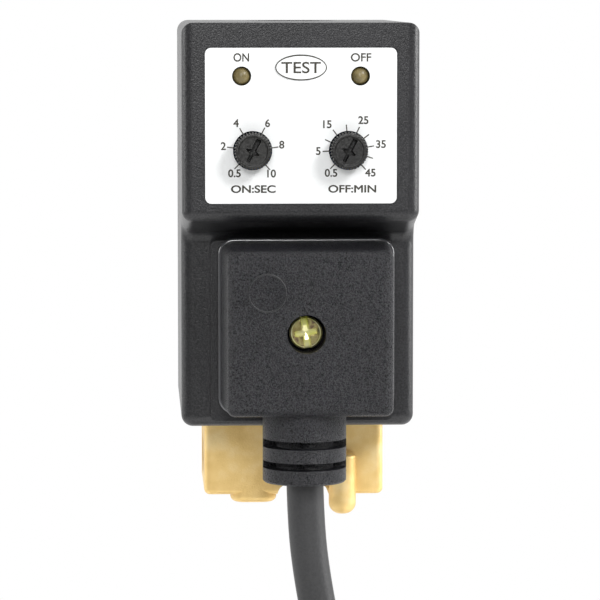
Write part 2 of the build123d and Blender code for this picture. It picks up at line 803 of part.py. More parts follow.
# ---------------------------------------------------------------- cord
# Route of the free stretch: out of the collar, down, and over the front of the tied hank.
collar_end = base_z + collar_bottom
exit_x = tube_x + plug_x
cord_x = exit_x + 5.0
hank_y = collar_y + hank_depth / 2 + cord_radius + 0.4
hank_top = collar_end - 54.0
hank_x = cord_x - 8.0
route = [
    (exit_x, collar_y, collar_end + 5.0),
    (exit_x + 0.1, collar_y, collar_end - 6.0),
    (exit_x + 1.4, collar_y - 0.2, collar_end - 17.0),
    (exit_x + 3.9, collar_y, collar_end - 29.0),
    (exit_x + 5.2, collar_y - 0.3, collar_end - 42.0),
    (cord_x, collar_y - 0.4, collar_end - 56.0),
    (cord_x - 1.0, collar_y - 0.5, collar_end - 72.0),
    (cord_x - 2.2, collar_y - 0.4, collar_end - 88.0),
    (cord_x - 1.8, collar_y + 0.6, collar_end - 103.0),
    (cord_x + 0.9, collar_y + 4.4, collar_end - 116.0),
    (cord_x + 5.0, collar_y + 8.8, collar_end - 128.0),
]


def bend_radii(points):
    radii = []
    for before, here, after in zip(points, points[1:], points[2:]):
        first = Vector(*here) - Vector(*before)
        second = Vector(*after) - Vector(*here)
        turn = math.radians(first.get_angle(second))
        radii.append(0.45 * min(first.length, second.length) / math.tan(turn / 2))
    return radii


bends = bend_radii(route)
print("cord bend radii", [round(bend, 1) for bend in bends])
with BuildPart() as power_cord:
    with BuildLine():
        lay = FilletPolyline(*route, radius=bends)
    with BuildSketch(Plane(origin=lay @ 0, z_dir=lay % 0)):
        Circle(cord_radius)
    sweep()
section = math.pi * cord_radius**2
print("cord volume over section times length", power_cord.part.volume / (section * lay.length))
save(power_cord.part, "power_cord")

hank_mid = hank_top - hank_height / 2
with BuildPart() as cord_hank:
    with BuildSketch(Plane(origin=(hank_x, hank_y, hank_mid), x_dir=(0, 0, 1), z_dir=(0, -1, 0))):
        SlotOverall(hank_height, hank_width)
    extrude(amount=hank_depth / 2, both=True)
    chamfer(cord_hank.edges(), 2.2)
save(cord_hank.part, "cord_hank")

# strap round the hank and the cord that runs down its front
strap_depth = hank_depth + 2 * cord_radius + 1.4
with BuildPart() as hank_tie:
    with BuildSketch(Plane(
        origin=(hank_x, hank_y + (hank_depth - strap_depth) / 2, hank_mid - tie_width / 2),
        x_dir=(1, 0, 0),
        z_dir=(0, 0, 1),
    )):
        RectangleRounded(hank_width + 2 * tie_thickness, strap_depth + 2 * tie_thickness, 4.2)
        RectangleRounded(hank_width, strap_depth, 3.0, mode=Mode.SUBTRACT)
    extrude(amount=tie_width)
save(hank_tie.part, "hank_tie")

# tail of the cord, straight down off the outlet side of the hank to the mains plug
tail_x = hank_x + hank_width / 2 - cord_radius
tail_y = hank_y - hank_depth / 2 + cord_radius
tail_top = hank_mid - (hank_height - hank_width) / 2 - 6.0
with BuildPart() as cord_tail:
    with BuildSketch(Plane(origin=(tail_x, tail_y, tail_top), z_dir=(0, 0, -1))):
        Circle(cord_radius)
    extrude(amount=tail_length)
save(cord_tail.part, "cord_tail")

plug_top = tail_top - tail_length


def plug_level_plane(drop):
    """Horizontal plane below the top of the mains plug, facing down."""
    return Plane(origin=(tail_x, tail_y, plug_top - drop), x_dir=(1, 0, 0), z_dir=(0, 0, -1))


with BuildPart() as mains_plug:
    with BuildSketch(plug_level_plane(0)):
        Circle(4.2)
    extrude(amount=relief_length, taper=-5)
    with BuildSketch(plug_level_plane(relief_length)):
        RectangleRounded(18, 16, 5)
    extrude(amount=13, taper=-12)
    with BuildSketch(plug_level_plane(relief_length + 13)):
        RectangleRounded(27, 24, 6)
    extrude(amount=5)
save(mains_plug.part, "mains_plug")

blade_root = relief_length + 18
with BuildPart() as mains_blades:
    with BuildSketch(plug_level_plane(blade_root)):
        with Locations((-6.35, 2.5), (6.35, 2.5)):
            Rectangle(1.5, 6.35)
    extrude(amount=17)
save(mains_blades.part, "mains_blades")

with BuildPart() as mains_earth_pin:
    with BuildSketch(plug_level_plane(blade_root)):
        with Locations((0, -6.0)):
            Circle(2.4)
    extrude(amount=20)
    chamfer(mains_earth_pin.faces().sort_by(Axis.Z)[0].edges(), 1.2)
save(mains_earth_pin.part, "mains_earth_pin")
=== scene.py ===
import bpy
import bmesh
import math
from mathutils import Vector, Matrix


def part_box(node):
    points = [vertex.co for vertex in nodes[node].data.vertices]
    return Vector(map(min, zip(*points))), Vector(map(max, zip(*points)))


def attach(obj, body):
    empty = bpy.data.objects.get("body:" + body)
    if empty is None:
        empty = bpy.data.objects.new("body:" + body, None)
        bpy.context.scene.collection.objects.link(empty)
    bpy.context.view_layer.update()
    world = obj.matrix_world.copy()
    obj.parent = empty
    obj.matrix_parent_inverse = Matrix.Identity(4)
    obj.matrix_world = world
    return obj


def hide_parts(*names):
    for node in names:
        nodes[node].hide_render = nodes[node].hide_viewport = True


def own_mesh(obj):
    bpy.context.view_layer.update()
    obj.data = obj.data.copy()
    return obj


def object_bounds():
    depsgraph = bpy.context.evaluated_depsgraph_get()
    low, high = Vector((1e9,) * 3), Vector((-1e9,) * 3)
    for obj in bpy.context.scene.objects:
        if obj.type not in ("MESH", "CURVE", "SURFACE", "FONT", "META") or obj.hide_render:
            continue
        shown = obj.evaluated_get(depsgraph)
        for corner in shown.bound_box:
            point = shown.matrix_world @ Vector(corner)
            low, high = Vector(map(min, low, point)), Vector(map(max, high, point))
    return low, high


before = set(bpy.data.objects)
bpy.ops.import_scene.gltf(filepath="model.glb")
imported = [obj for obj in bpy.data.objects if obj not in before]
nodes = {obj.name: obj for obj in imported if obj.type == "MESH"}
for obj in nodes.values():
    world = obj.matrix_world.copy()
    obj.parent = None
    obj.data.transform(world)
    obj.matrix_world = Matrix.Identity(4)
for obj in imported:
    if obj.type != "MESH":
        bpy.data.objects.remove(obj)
cadBox = [list(corner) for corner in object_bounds()]
mm = 0.001

# places that everything else is set out from
bodyLow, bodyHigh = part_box("valve_body")
caseLow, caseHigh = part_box("housing")
labelLow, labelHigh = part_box("panel_label")
tubeX = (caseLow.x + caseHigh.x) / 2
baseZ = caseLow.z
labelCentre = (labelLow + labelHigh) / 2
print("frame loaded", len(nodes), "nodes")


# small helpers

def newMaterial(name):
    mat = bpy.data.materials.new(name)
    mat.use_nodes = True
    tree = mat.node_tree
    return mat, tree, tree.nodes["Principled BSDF"]


def addNode(tree, kind, **values):
    node = tree.nodes.new(kind)
    for key, value in values.items():
        if key in node.inputs:
            node.inputs[key].default_value = value
        else:
            setattr(node, key, value)
    return node


def objectCoords(tree, scale=(1, 1, 1)):
    coords = tree.nodes.new("ShaderNodeTexCoord")
    mapping = tree.nodes.new("ShaderNodeMapping")
    mapping.inputs["Scale"].default_value = scale
    tree.links.new(coords.outputs["Object"], mapping.inputs["Vector"])
    return mapping.outputs["Vector"]


def noiseOn(tree, vector, scale, detail=4.0, rough=0.5):
    node = addNode(tree, "ShaderNodeTexNoise")
    node.inputs["Scale"].default_value = scale
    node.inputs["Detail"].default_value = detail
    node.inputs["Roughness"].default_value = rough
    tree.links.new(vector, node.inputs["Vector"])
    return node.outputs["Fac"]


def ramp(tree, fac, stops):
    node = tree.nodes.new("ShaderNodeValToRGB")
    elements = node.color_ramp.elements
    elements[0].position, elements[0].color = stops[0][0], (*stops[0][1], 1)
    elements[1].position, elements[1].color = stops[-1][0], (*stops[-1][1], 1)
    for place, colour in stops[1:-1]:
        stop = elements.new(place)
        stop.color = (*colour, 1)
    tree.links.new(fac, node.inputs["Fac"])
    return node.outputs["Color"]


def spread(tree, fac, low, high, fromLow=0.0, fromHigh=1.0):
    node = tree.nodes.new("ShaderNodeMapRange")
    node.inputs["From Min"].default_value = fromLow
    node.inputs["From Max"].default_value = fromHigh
    node.inputs["To Min"].default_value = low
    node.inputs["To Max"].default_value = high
    tree.links.new(fac, node.inputs["Value"])
    return node.outputs["Result"]


def bumpFrom(tree, height, strength, distance, below=None):
    node = tree.nodes.new("ShaderNodeBump")
    node.inputs["Strength"].default_value = strength
    node.inputs["Distance"].default_value = distance
    tree.links.new(height, node.inputs["Height"])
    if below is not None:
        tree.links.new(below, node.inputs["Normal"])
    return node.outputs["Normal"]


def plastic(name, dark, light, rough, grain, depth, strength=0.5, specular=0.5, speckle=0.3, glint=0.0):
    # moulded plastic: cloudy colour, a fine eroded grain and uneven gloss
    # speckle is the grain's share of the colour, and glint is how far it varies the reflection
    mat, tree, shader = newMaterial(name)
    where = objectCoords(tree)
    cloud = noiseOn(tree, where, 90, 3)
    fine = noiseOn(tree, where, grain, 3, 0.6)
    mixed = addNode(tree, "ShaderNodeMix", data_type="FLOAT")
    mixed.inputs["Factor"].default_value = speckle
    tree.links.new(cloud, mixed.inputs["A"])
    tree.links.new(fine, mixed.inputs["B"])
    tree.links.new(
        ramp(tree, mixed.outputs["Result"], [(0.35, dark), (0.65, light)]), shader.inputs["Base Color"])
    tree.links.new(spread(tree, fine, *rough), shader.inputs["Roughness"])
    tree.links.new(bumpFrom(tree, fine, strength, depth), shader.inputs["Normal"])
    tree.links.new(
        spread(tree, fine, specular * (1 - glint), specular * (1 + glint), 0.38, 0.62),
        shader.inputs["Specular IOR Level"])
    return mat


def metal(name, stops, rough, grain, depth, strength=0.4, stretch=(1, 1, 1), metallic=1.0):
    # metal with drifting colour and a fine cast or drawn surface
    mat, tree, shader = newMaterial(name)
    where = objectCoords(tree, stretch)
    patch = noiseOn(tree, where, 160, 4)
    fine = noiseOn(tree, where, grain, 6, 0.65)
    tree.links.new(ramp(tree, patch, stops), shader.inputs["Base Color"])
    tree.links.new(spread(tree, fine, *rough), shader.inputs["Roughness"])
    tree.links.new(bumpFrom(tree, fine, strength, depth), shader.inputs["Normal"])
    shader.inputs["Metallic"].default_value = metallic
    return mat


def dress(names, mat):
    for name in names:
        slots = nodes[name].data.materials
        slots.clear()
        slots.append(mat)


# the corners of a rounded rectangle, anticlockwise: two signs and the angle at which the arc starts
corners = ((1, -1, -90), (1, 1, 0), (-1, 1, 90), (-1, -1, 180))


def addMesh(name, bm, mat, body, smooth=True, sharp=35):
    mesh = bpy.data.meshes.new(name)
    bm.normal_update()
    bm.to_mesh(mesh)
    bm.free()
    if smooth:
        mesh.shade_smooth()
        mesh.set_sharp_from_angle(angle=math.radians(sharp))
    piece = bpy.data.objects.new(name, mesh)
    bpy.context.scene.collection.objects.link(piece)
    mesh.materials.append(mat)
    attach(piece, body)
    return piece


def addWire(name, places, radius, mat, kind="POLY", closed=False, roundness=3):
    # round wire along a list of places
    curve = bpy.data.curves.new(name, "CURVE")
    curve.dimensions = "3D"
    line = curve.splines.new(kind)
    line.points.add(len(places) - 1)
    for point, place in zip(line.points, places):
        point.co = (*place, 1)
    line.use_cyclic_u = closed
    if kind == "NURBS":
        line.order_u = 3
        line.use_endpoint_u = True
        line.resolution_u = 6
        curve.use_fill_caps = True
    curve.bevel_depth = radius
    curve.bevel_resolution = roundness
    curve.materials.append(mat)
    piece = bpy.data.objects.new(name, curve)
    bpy.context.scene.collection.objects.link(piece)
    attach(piece, "valve")
    return piece


# camera and light

view = {
    "azimuth": -2.78,     # degrees, from the left of straight ahead
    "elevation": 5.16,
    "distance": 0.583,
    "lens": 203.9,
    "aimX": 1.62 * mm,    # from the tube axis
    "aimZ": 18.55 * mm,   # above the housing's underside
}

aim = Vector((tubeX + view["aimX"], 0, baseZ + view["aimZ"]))
turn, rise = math.radians(view["azimuth"]), math.radians(view["elevation"])
back = Vector((math.sin(turn) * math.cos(rise), -math.cos(turn) * math.cos(rise), math.sin(rise)))
camera = bpy.data.objects.new("camera", bpy.data.cameras.new("camera"))
camera.data.lens = view["lens"]
camera.data.sensor_width = 36
camera.data.clip_start = 0.01
camera.location = aim + back * view["distance"]
camera.rotation_euler = (-back).to_track_quat("-Z", "Y").to_euler()
bpy.context.scene.collection.objects.link(camera)
bpy.context.scene.camera = camera

studio = {
    "skyFront": 0.28,
    "skyBehind": 1.0,
    "skyTop": 0.9,
    "behindRange": (-0.55, 0.45),   # where front turns to behind along Y
    "topRange": (0.30, 0.85),       # where the sides turn to overhead along Z
    "lamps": [
        # name, place from the aim, size, watts
        ("key", (0.50, -0.55, 0.55), 0.20, 5.6),
        ("front", (-0.05, -0.76, 0.30), 0.22, 2.5),
        ("edgeRight", (0.60, -0.02, 0.10), 0.25, 2.0),
        ("edgeLeft", (-0.60, 0.05, 0.15), 0.25, 1.2),
    ],
}

world = bpy.data.worlds.new("studio")
world.use_nodes = True
sky = world.node_tree
skyCoords = sky.nodes.new("ShaderNodeTexCoord")
skyParts = sky.nodes.new("ShaderNodeSeparateXYZ")
sky.links.new(skyCoords.outputs["Generated"], skyParts.inputs["Vector"])


def skyRange(fac, fromMin, fromMax, toMin, toMax):
    node = sky.nodes.new("ShaderNodeMapRange")
    for key, value in (("From Min", fromMin), ("From Max", fromMax), ("To Min", toMin), ("To Max", toMax)):
        node.inputs[key].default_value = value
    sky.links.new(fac, node.inputs["Value"])
    return node.outputs["Result"]


# bright behind, at the sides and overhead, dim where the viewer stands
behind = skyRange(skyParts.outputs["Y"], *studio["behindRange"], studio["skyFront"], studio["skyBehind"])
overhead = skyRange(skyParts.outputs["Z"], *studio["topRange"], 0.0, studio["skyTop"])
skyLevel = sky.nodes.new("ShaderNodeMath")
skyLevel.operation = "MAXIMUM"
sky.links.new(behind, skyLevel.inputs[0])
sky.links.new(overhead, skyLevel.inputs[1])
rays = sky.nodes.new("ShaderNodeLightPath")
seen = sky.nodes.new("ShaderNodeMath")
seen.operation = "MAXIMUM"
sky.links.new(skyLevel.outputs[0], seen.inputs[0])
sky.links.new(rays.outputs["Is Camera Ray"], seen.inputs[1])
sky.nodes["Background"].inputs["Color"].default_value = (1, 1, 1, 1)
sky.links.new(seen.outputs[0], sky.nodes["Background"].inputs["Strength"])
bpy.context.scene.world = world
bpy.context.scene.view_settings.view_transform = "Standard"

for name, place, size, watts in studio["lamps"]:
    data = bpy.data.lights.new(name, "AREA")
    data.size = size
    data.energy = watts
    lamp = bpy.data.objects.new(name, data)
    lamp.location = aim + Vector(place)
    lamp.rotation_euler = (-Vector(place)).to_track_quat("-Z", "Y").to_euler()
    bpy.context.scene.collection.objects.link(lamp)

ground = {
    "halfSize": 0.8,
    "drop": 0.03,          # below the lowest point of the part
    "grey": (0.9, 0.9, 0.9, 1),
    "roughness": 0.7,
}

floorBm = bmesh.new()
bmesh.ops.create_grid(floorBm, x_segments=2, y_segments=2, size=ground["halfSize"])
floorMesh = bpy.data.meshes.new("floor")
floorBm.to_mesh(floorMesh)
floorBm.free()
floor = bpy.data.objects.new("floor", floorMesh)
floor.location = (0, 0, cadBox[0][2] - ground["drop"])
bpy.context.scene.collection.objects.link(floor)
floorMat, _, floorShader = newMaterial("floorPale")
floorShader.inputs["Base Color"].default_value = ground["grey"]
floorShader.inputs["Roughness"].default_value = ground["roughness"]
floor.data.materials.append(floorMat)
print("camera and lights")


# materials

caseBlack = plastic(
    "caseBlack", (0.009, 0.009, 0.010), (0.024, 0.024, 0.026),
    rough=(0.24, 0.40), grain=3600, depth=0.00010, strength=0.5, specular=0.48, speckle=0.7, glint=0.12)
plugBlack = plastic(
    "plugBlack", (0.002, 0.002, 0.003), (0.016, 0.016, 0.020),
    rough=(0.18, 0.42), grain=4200, depth=0.00036, strength=1.0, specular=0.36, speckle=0.85, glint=0.45)
# a painted highlight: lighter than the plug's plastic so that the bead along the lip reads as a light line
beadHighlight = plastic(
    "beadHighlight", (0.030, 0.030, 0.033), (0.052, 0.053, 0.058),
    rough=(0.10, 0.22), grain=1500, depth=0.00002, strength=0.2, specular=1.0)
knobBlack = plastic(
    "knobBlack", (0.004, 0.004, 0.004), (0.015, 0.0145, 0.013),
    rough=(0.26, 0.44), grain=3000, depth=0.00010, strength=0.5, specular=0.5, speckle=0.6, glint=0.3)
cordBlack = plastic(
    "cordBlack", (0.027, 0.027, 0.028), (0.040, 0.040, 0.041),
    rough=(0.40, 0.55), grain=2200, depth=0.00008, strength=0.5, specular=0.4, speckle=0.6)
sheetWhite = plastic(
    "sheetWhite", (0.745, 0.755, 0.755), (0.785, 0.795, 0.795),
    rough=(0.34, 0.42), grain=1800, depth=0.00001, strength=0.2, specular=0.4)
printBlack = plastic(
    "printBlack", (0.032, 0.029, 0.022), (0.060, 0.054, 0.042),
    rough=(0.45, 0.6), grain=2400, depth=0.00001, strength=0.2, specular=0.3)
nylonDark = plastic(
    "nylonDark", (0.020, 0.020, 0.020), (0.035, 0.035, 0.035), rough=(0.40, 0.55), grain=900, depth=0.00003)
rubberBlack = plastic(
    "rubberBlack", (0.008, 0.008, 0.008), (0.016, 0.016, 0.016), rough=(0.60, 0.75), grain=1400, depth=0.00004)
trimmerBlue = plastic(
    "trimmerBlue", (0.02, 0.07, 0.30), (0.03, 0.10, 0.36), rough=(0.30, 0.45), grain=900, depth=0.00002)
filmYellow = plastic(
    "filmYellow", (0.50, 0.34, 0.04), (0.60, 0.43, 0.07), rough=(0.30, 0.45), grain=500, depth=0.00003)
boardGreen = plastic(
    "boardGreen", (0.010, 0.11, 0.045), (0.018, 0.16, 0.07), rough=(0.25, 0.40), grain=700, depth=0.00003)
castBrass = metal(
    "castBrass", [(0.28, (0.76, 0.51, 0.18)), (0.5, (0.86, 0.61, 0.245)), (0.72, (0.93, 0.72, 0.36))],
    rough=(0.34, 0.52), grain=1900, depth=0.00011, strength=0.6, stretch=(1.6, 1.6, 1.6), metallic=0.55)
stainless = metal(
    "stainless", [(0.3, (0.52, 0.52, 0.53)), (0.7, (0.66, 0.66, 0.67))],
    rough=(0.22, 0.38), grain=900, depth=0.00002, strength=0.3, stretch=(1, 1, 12))
zincSteel = metal(
    "zincSteel", [(0.3, (0.60, 0.62, 0.65)), (0.7, (0.72, 0.74, 0.76))],
    rough=(0.25, 0.45), grain=700, depth=0.00003)
copper = metal(
    "copper", [(0.3, (0.50, 0.17, 0.07)), (0.7, (0.66, 0.27, 0.12))],
    rough=(0.25, 0.4), grain=600, depth=0.00005, strength=0.5, stretch=(1, 1, 14))
tinned = metal(
    "tinned", [(0.3, (0.70, 0.69, 0.66)), (0.7, (0.80, 0.79, 0.76))],
    rough=(0.18, 0.35), grain=600, depth=0.00002)
yellowZinc = metal(
    "yellowZinc",
    [(0.32, (0.14, 0.15, 0.07)), (0.43, (0.46, 0.37, 0.13)), (0.52, (0.70, 0.62, 0.28)),
     (0.60, (0.30, 0.19, 0.12)), (0.72, (0.12, 0.13, 0.09))],
    rough=(0.10, 0.24), grain=1500, depth=0.00002, strength=0.3, stretch=(4, 4, 4), metallic=0.7)
# brighter zinc for the slot and the cross, partly the plating's own colour and partly a painted highlight on
# their walls, and for a painted highlight round the rim of the head
brightZinc = metal(
    "brightZinc", [(0.35, (0.80, 0.82, 0.14)), (0.65, (1.0, 0.96, 0.55))],
    rough=(0.10, 0.22), grain=1800, depth=0.00002, strength=0.3, stretch=(3, 3, 3), metallic=0.3)


def lampAmber():
    # tinted epoxy: milky amber, a little see-through
    mat, tree, shader = newMaterial("lampAmber")
    where = objectCoords(tree)
    cloud = noiseOn(tree, where, 700, 3)
    tree.links.new(
        ramp(tree, cloud, [(0.3, (0.12, 0.095, 0.035)), (0.7, (0.24, 0.19, 0.08))]),
        shader.inputs["Base Color"])
    shader.inputs["Roughness"].default_value = 0.38
    shader.inputs["Transmission Weight"].default_value = 0.15
    shader.inputs["IOR"].default_value = 1.5
    return mat


epoxyAmber = lampAmber()


def wovenBlack():
    # hook-and-loop strap: crossed threads
    mat, tree, shader = newMaterial("wovenBlack")
    where = objectCoords(tree)
    warp = addNode(tree, "ShaderNodeTexWave", Scale=420.0, Distortion=0.6)
    weft = addNode(tree, "ShaderNodeTexWave", Scale=420.0, Distortion=0.6)
    weft.bands_direction = "Z"
    tree.links.new(where, warp.inputs["Vector"])
    tree.links.new(where, weft.inputs["Vector"])
    both = addNode(tree, "ShaderNodeMath", operation="MAXIMUM")
    tree.links.new(warp.outputs["Fac"], both.inputs[0])
    tree.links.new(weft.outputs["Fac"], both.inputs[1])
    tree.links.new(
        ramp(tree, both.outputs[0], [(0.0, (0.006, 0.006, 0.007)), (1.0, (0.03, 0.03, 0.033))]),
        shader.inputs["Base Color"])
    tree.links.new(bumpFrom(tree, both.outputs[0], 0.8, 0.0002), shader.inputs["Normal"])
    shader.inputs["Roughness"].default_value = 0.9
    shader.inputs["Sheen Weight"].default_value = 0.3
    return mat


strapWeave = wovenBlack()

dress(["housing", "rear_cover"], caseBlack)
dress(["cable_plug"], plugBlack)
dress(["knob_on", "knob_off", "triac"], knobBlack)
dress(["panel_label", "test_button"], sheetWhite)
dress(["lamp_on", "lamp_off"], epoxyAmber)
dress(["coil_bobbin", "contact_carrier", "test_switch"], nylonDark)
dress(["plug_gasket", "tube_o_ring", "plunger_seal"], rubberBlack)
dress(["trimmer_on", "trimmer_off", "surge_disc"], trimmerBlue)
dress(["film_capacitor"], filmYellow)
dress(["timer_board"], boardGreen)
dress(["valve_body", "screw_insert"], castBrass)
dress(["guide_tube", "fixed_core", "plunger", "plunger_spring"], stainless)
dress(["coil_yoke", "coil_nut", "nut_washer"], zincSteel)
dress(["rear_cover_screws", "board_screws", "storage_capacitor"], zincSteel)
dress(["coil_winding", "shading_ring"], copper)
dress(["contact_blades", "contact_clips", "mains_blades", "mains_earth_pin"], tinned)
dress(["plug_screw"], yellowZinc)
dress(["mains_plug", "power_cord", "cord_hank", "cord_tail"], cordBlack)
dress(["hank_tie"], strapWeave)
print("materials")


# smooth shading on the CAD nodes

for name, node in nodes.items():
    node.data.shade_smooth()
print("shading")


# cord

cordFacts = {
    "diameter": 6.0 * mm,
    "turnsInner": 4,
    "turnsOuter": 4,
    "pitch": 6.5 * mm,       # from one turn to the next across the hank
    "pointsPerTurn": 20,
    "layerGap": 6.2 * mm,    # from the outer layer to the inner one
    "crossFrom": 0.72,       # share of a turn after which it shifts across
    "innerFrom": 0.33,       # shares of a turn at which each layer starts and stops
    "innerTo": 0.9,
    "outerFrom": 0.02,
    "outerTo": 0.20,
    "tailDrops": (4.0, 14.0, 24.0, 36.0, 46.0),   # millimetres below the top of the tail
}

plugLow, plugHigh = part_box("cable_plug")
hankLow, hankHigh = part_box("cord_hank")
tailLow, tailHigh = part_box("cord_tail")
mainsLow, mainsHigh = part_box("mains_plug")
hankMid = (hankLow + hankHigh) / 2
collarEnd = plugLow.z

exitX = tubeX + 0.6 * mm     # axis of the collar
exitY = -35.7 * mm
# the free stretch, as steps from the collar's mouth in millimetres
route = [
    (0.0, 0.0, 5.0),
    (0.1, 0.0, -6.0),
    (1.4, -0.2, -17.0),
    (3.9, 0.0, -29.0),
    (5.2, -0.3, -42.0),
    (5.0, -0.4, -56.0),
    (4.0, -0.5, -72.0),
    (2.8, -0.4, -88.0),
    (3.2, 0.6, -103.0),
    (5.9, 4.4, -116.0),
    (10.0, 8.8, -128.0),
]
cordPoints = [(exitX + x * mm, exitY + y * mm, collarEnd + z * mm) for x, y, z in route]


def racetrack(radius, half, share):
    # a point on an upright loop, clockwise from the top of the right leg; half is half a straight leg
    around = 4 * half + 2 * math.pi * radius
    along = share * around
    if along < 2 * half:
        return radius, half - along
    along -= 2 * half
    if along < math.pi * radius:
        angle = along / radius
        return radius * math.cos(angle), -half - radius * math.sin(angle)
    along -= math.pi * radius
    if along < 2 * half:
        return -radius, -half + along
    angle = (along - 2 * half) / radius
    return -radius * math.cos(angle), half + radius * math.sin(angle)


def windings(radius, turns, firstY, step, start, finish):
    # control points of one layer; the shift to the next turn is made on the way over the top
    half = (hankHigh.z - hankLow.z) / 2 - outerRadius - cordFacts["diameter"] / 2
    count, crossFrom = cordFacts["pointsPerTurn"], cordFacts["crossFrom"]
    points = []
    first, last = round(start * count), round((turns - 1 + finish) * count)
    for i in range(first, last + 1):
        turn, share = divmod(i / count, 1)
        x, z = racetrack(radius, half, share)
        over = max(0.0, (share - crossFrom) / (1 - crossFrom))
        y = firstY + step * (turn + over * over * (3 - 2 * over))
        points.append((hankMid.x + x, y, hankMid.z + z))
    return points


outerRadius = (hankHigh.x - hankLow.x) / 2 - cordFacts["diameter"] / 2
innerRadius = outerRadius - cordFacts["layerGap"]
pitch = cordFacts["pitch"]
cordPoints += windings(
    innerRadius, cordFacts["turnsInner"], hankMid.y - 1.5 * pitch, pitch,
    cordFacts["innerFrom"], cordFacts["innerTo"])
cordPoints += windings(
    outerRadius, cordFacts["turnsOuter"], hankMid.y + 1.5 * pitch, -pitch,
    cordFacts["outerFrom"], cordFacts["outerTo"])
tailX, tailY = (tailLow.x + tailHigh.x) / 2, (tailLow.y + tailHigh.y) / 2
for drop in cordFacts["tailDrops"]:
    cordPoints.append((tailX, tailY, tailHigh.z - drop * mm))

powerLead = addWire(
    "powerLead", cordPoints, cordFacts["diameter"] / 2, cordBlack, kind="NURBS", roundness=6)
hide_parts("power_cord", "cord_hank", "cord_tail")
print("cord", len(cordPoints), "points")


# panel print

panel = {
    "proud": 0.02 * mm,
    "lineWidth": 0.18 * mm,
    "captions": [
        # words, x and z from the label's centre, cap height, width, weight
        ("ON", -9.55, 10.92, 1.36, 2.5, 0.016),
        ("OFF", 9.60, 10.92, 1.36, 3.3, 0.016),
        ("ON:SEC", -7.65, -10.10, 1.24, 7.15, 0.023),
        ("OFF:MIN", 8.21, -10.10, 1.24, 7.70, 0.023),
    ],
    "numberHeight": 1.28,
    "numberWeight": 0.021,
    "test": {
        "height": 1.83 * mm,
        "width": 6.3 * mm,
        "weight": 0.011,
        "ringHalfX": 4.12 * mm,
        "ringHalfZ": 2.02 * mm,
        "ringLine": 0.16 * mm,
    },
    "dialOn": {
        "ticks": (225, 172, 120, 62, 8, -48),
        # number, angle, distance from the knob's axis
        "numbers": [("0.5", 231, 4.65), ("2", 171, 4.75), ("4", 121, 5.15),
                    ("6", 61.5, 5.0), ("8", 11.5, 4.75), ("10", -50.5, 4.75)],
    },
    "dialOff": {
        "ticks": (225, 182, 155, 127, 95, 65, 38, 10, -18, -48),
        "numbers": [("0.5", 232, 4.55), ("5", 181, 4.85), ("15", 129, 5.4),
                    ("25", 63.9, 5.4), ("35", 11, 5.3), ("45", -45.4, 5.0)],
    },
    "tickFrom": 3.12 * mm,
    "tickTo": 4.15 * mm,
}


def textBm(words, height, width=None, weight=0.017):
    # flat letters, scaled to a cap height and, if it is given, a width
    font = bpy.data.curves.new("letters", "FONT")
    font.body = words
    font.align_x = "CENTER"
    font.size = 1
    font.bevel_depth = weight
    font.bevel_resolution = 0
    holder = bpy.data.objects.new("letters", font)
    mesh = bpy.data.meshes.new_from_object(holder)
    bpy.data.objects.remove(holder)
    xs = [v.co.x for v in mesh.vertices]
    ys = [v.co.y for v in mesh.vertices]
    tall = height / (max(ys) - min(ys))
    wide = tall if width is None else width / (max(xs) - min(xs))
    midX, midY = (max(xs) + min(xs)) / 2, (max(ys) + min(ys)) / 2
    bm = bmesh.new()
    bm.from_mesh(mesh)
    bpy.data.meshes.remove(mesh)
    for v in bm.verts:
        v.co = Vector(((v.co.x - midX) * wide, -v.co.z * tall * 0.1, (v.co.y - midY) * tall))
    return bm


def moveBm(bm, x, y, z):
    bmesh.ops.translate(bm, verts=bm.verts, vec=(x, y, z))
    return bm


def joinBms(parts):
    whole = bmesh.new()
    for part in parts:
        mesh = bpy.data.meshes.new("part")
        part.to_mesh(mesh)
        part.free()
        whole.from_mesh(mesh)
        bpy.data.meshes.remove(mesh)
    return whole


def ringBm(halfWidth, halfHeight, line, steps=96):
    # flat oval outline
    bm = bmesh.new()
    inner, outer = [], []
    for i in range(steps):
        c, d = math.cos(2 * math.pi * i / steps), math.sin(2 * math.pi * i / steps)
        inner.append(bm.verts.new(((halfWidth - line) * c, 0, (halfHeight - line) * d)))
        outer.append(bm.verts.new((halfWidth * c, 0, halfHeight * d)))
    for i in range(steps):
        j = (i + 1) % steps
        bm.faces.new((inner[i], outer[i], outer[j], inner[j]))
    return bm


printY = labelLow.y - panel["proud"]
printed = []
for words, x, z, height, width, weight in panel["captions"]:
    letters = textBm(words, height * mm, width * mm, weight)
    printed.append(moveBm(letters, labelCentre.x + x * mm, printY, labelCentre.z + z * mm))

for dial, knob in (("dialOn", "knob_on"), ("dialOff", "knob_off")):
    low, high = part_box(knob)
    centreX, centreZ = (low.x + high.x) / 2, (low.z + high.z) / 2
    for words, angle, reach in panel[dial]["numbers"]:
        a = math.radians(angle)
        letters = textBm(words, panel["numberHeight"] * mm, weight=panel["numberWeight"])
        printed.append(moveBm(
            letters, centreX + reach * mm * math.cos(a), printY, centreZ + reach * mm * math.sin(a)))
    for angle in panel[dial]["ticks"]:
        tick = bmesh.new()
        half = panel["lineWidth"] / 2
        near, far = panel["tickFrom"], panel["tickTo"]
        outline = ((near, -half), (far, -half), (far, half), (near, half))
        tick.faces.new([tick.verts.new((x, 0, z)) for x, z in outline])
        bmesh.ops.rotate(tick, verts=tick.verts, matrix=Matrix.Rotation(-math.radians(angle), 3, "Y"))
        printed.append(moveBm(tick, centreX, printY, centreZ))
addMesh("panelPrint", joinBms(printed), printBlack, "valve", smooth=False)

